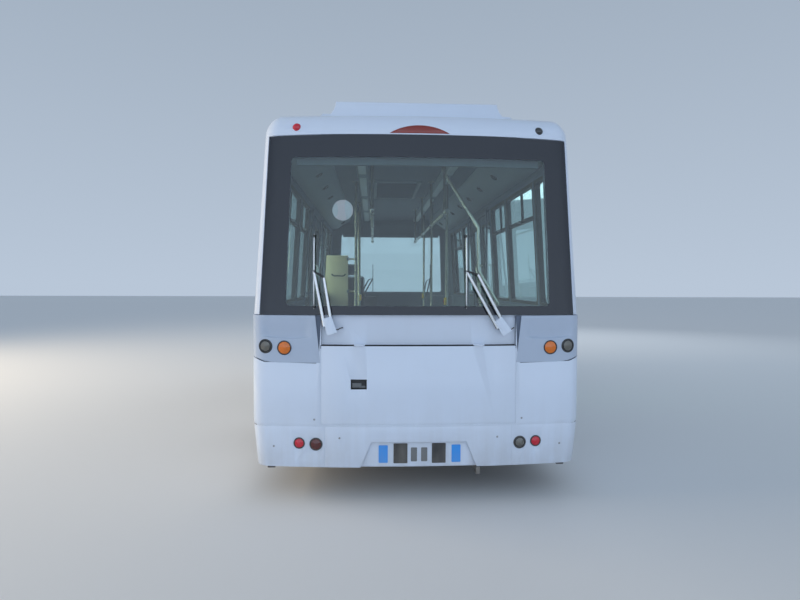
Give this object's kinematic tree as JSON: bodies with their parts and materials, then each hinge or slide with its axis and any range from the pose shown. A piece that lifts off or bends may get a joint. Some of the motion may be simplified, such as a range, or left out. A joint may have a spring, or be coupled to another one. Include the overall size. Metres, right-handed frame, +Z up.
{
  "type": "short airport passenger bus",
  "caption": "Short low-floor airport bus with bulged ends, wide windscreens front and rear, a double door in each side, a rear engine lid and twin rear wheels.",
  "frame": {"origin": "on the ground under the middle of the bus", "axes": "+Y along the bus towards the front, +X to the bus's right, +Z up"},
  "size_m": [2.99, 7.0394, 3.1],
  "materials": {
    "body_white": "gloss white paint",
    "glass_tint": "tinted glass",
    "floor_cover": "ribbed floor covering",
    "chassis_black": "satin chassis paint",
    "lamp_red": "red lens",
    "lamp_amber": "amber lens",
    "lamp_clear": "clear lens",
    "lamp_black": "black lamp ring",
    "wiper_grey": "satin paint",
    "engine_iron": "rough casting",
    "steel_plain": "machined steel",
    "wheel_silver": "silver wheel paint",
    "tyre_rubber": "tyre rubber",
    "dash_plastic": "grained plastic",
    "seat_cloth": "woven seat cloth",
    "seat_shell": "moulded seat",
    "panel_beige": "beige laminate",
    "rail_steel": "satin yellow tube",
    "duct_grey": "pale lining"
  },
  "bodies": {
    "body": {"floor": "floor_cover", "wheel_boxes": "floor_cover", "chassis_frame": "chassis_black", "rear_frame": "chassis_black", "cab_step": "floor_cover", "engine_cover": "floor_cover", "side_wall_left": "body_white", "side_wall_right": "body_white", "roof": "body_white", "rear_face": "body_white", "front_face": "body_white", "lamp_pods": "body_white", "rear_bumper": "body_white", "front_bumper": "body_white", "rear_windscreen": "glass_tint", "front_windscreen": "glass_tint", "side_glass_left": "glass_tint", "side_glass_right": "glass_tint", "roof_pod": "body_white", "red_lamps": "lamp_red", "amber_lamps": "lamp_amber", "clear_lamps": "lamp_clear", "lamp_rings": "lamp_black", "rear_wipers": "wiper_grey", "front_wipers": "wiper_grey", "engine": "engine_iron", "front_axle": "chassis_black", "rear_axle": "chassis_black", "dashboard": "dash_plastic", "steering_wheel": "dash_plastic", "driver_seat": "seat_cloth", "cab_partition": "panel_beige", "handrails": "rail_steel", "ceiling_ducts": "duct_grey", "passenger_seats": "seat_shell", "mirrors": "dash_plastic", "tow_eyes": "chassis_black", "fuel_tank": "chassis_black", "silencer": "steel_plain", "propeller_shaft": "steel_plain"},
    "rear_hatch": {"rear_hatch": "body_white"},
    "front_flap": {"front_flap": "body_white"},
    "leaf_left_rear": {"door_left_rear": "body_white", "door_glass_left_rear": "glass_tint"},
    "leaf_left_front": {"door_left_front": "body_white", "door_glass_left_front": "glass_tint"},
    "knuckle_left": {"knuckle_left": "steel_plain"},
    "front_wheel_left": {"wheel_front_left": "wheel_silver", "tyre_front_left": "tyre_rubber"},
    "rear_wheel_left": {"wheel_rear_left": "wheel_silver", "tyre_rear_left": "tyre_rubber"},
    "leaf_right_rear": {"door_right_rear": "body_white", "door_glass_right_rear": "glass_tint"},
    "leaf_right_front": {"door_right_front": "body_white", "door_glass_right_front": "glass_tint"},
    "knuckle_right": {"knuckle_right": "steel_plain"},
    "front_wheel_right": {"wheel_front_right": "wheel_silver", "tyre_front_right": "tyre_rubber"},
    "rear_wheel_right": {"wheel_rear_right": "wheel_silver", "tyre_rear_right": "tyre_rubber"}
  },
  "joints": [
    {"name": "rear_hatch_hinge", "type": "hinge", "parent": "body", "child": "rear_hatch", "pos_m": [0, -3.494, 1.184], "axis": [-1, 0, 0], "range_deg": [0, 80]},
    {"name": "front_flap_hinge", "type": "hinge", "parent": "body", "child": "front_flap", "pos_m": [0, 3.494, 1.184], "axis": [1, 0, 0], "range_deg": [0, 80]},
    {"name": "leaf_left_rear_swing", "type": "hinge", "parent": "body", "child": "leaf_left_rear", "pos_m": [-1.113, -0.514, 1.4], "axis": [0, 0, -1], "range_deg": [0, 88]},
    {"name": "leaf_left_front_swing", "type": "hinge", "parent": "body", "child": "leaf_left_front", "pos_m": [-1.113, 0.814, 1.4], "axis": [0, 0, 1], "range_deg": [0, 88]},
    {"name": "steer_left", "type": "hinge", "parent": "body", "child": "knuckle_left", "pos_m": [-0.86, 1.95, 0.383], "axis": [0, 0, 1], "range_deg": [-36, 36]},
    {"name": "front_wheel_left_spin", "type": "hinge", "parent": "knuckle_left", "child": "front_wheel_left", "pos_m": [-1.045, 1.95, 0.383], "axis": [1, 0, 0], "continuous": true},
    {"name": "rear_wheel_left_spin", "type": "hinge", "parent": "body", "child": "rear_wheel_left", "pos_m": [-0.935, -1.65, 0.383], "axis": [1, 0, 0], "continuous": true},
    {"name": "leaf_right_rear_swing", "type": "hinge", "parent": "body", "child": "leaf_right_rear", "pos_m": [1.113, -0.514, 1.4], "axis": [0, 0, 1], "range_deg": [0, 88]},
    {"name": "leaf_right_front_swing", "type": "hinge", "parent": "body", "child": "leaf_right_front", "pos_m": [1.113, 0.814, 1.4], "axis": [0, 0, -1], "range_deg": [0, 88]},
    {"name": "steer_right", "type": "hinge", "parent": "body", "child": "knuckle_right", "pos_m": [0.86, 1.95, 0.383], "axis": [0, 0, 1], "range_deg": [-36, 36]},
    {"name": "front_wheel_right_spin", "type": "hinge", "parent": "knuckle_right", "child": "front_wheel_right", "pos_m": [1.045, 1.95, 0.383], "axis": [1, 0, 0], "continuous": true},
    {"name": "rear_wheel_right_spin", "type": "hinge", "parent": "body", "child": "rear_wheel_right", "pos_m": [0.935, -1.65, 0.383], "axis": [1, 0, 0], "continuous": true}
  ],
  "couplings": [
    {"joint": "steer_right", "follows": "steer_left", "ratio": 1}
  ]
}
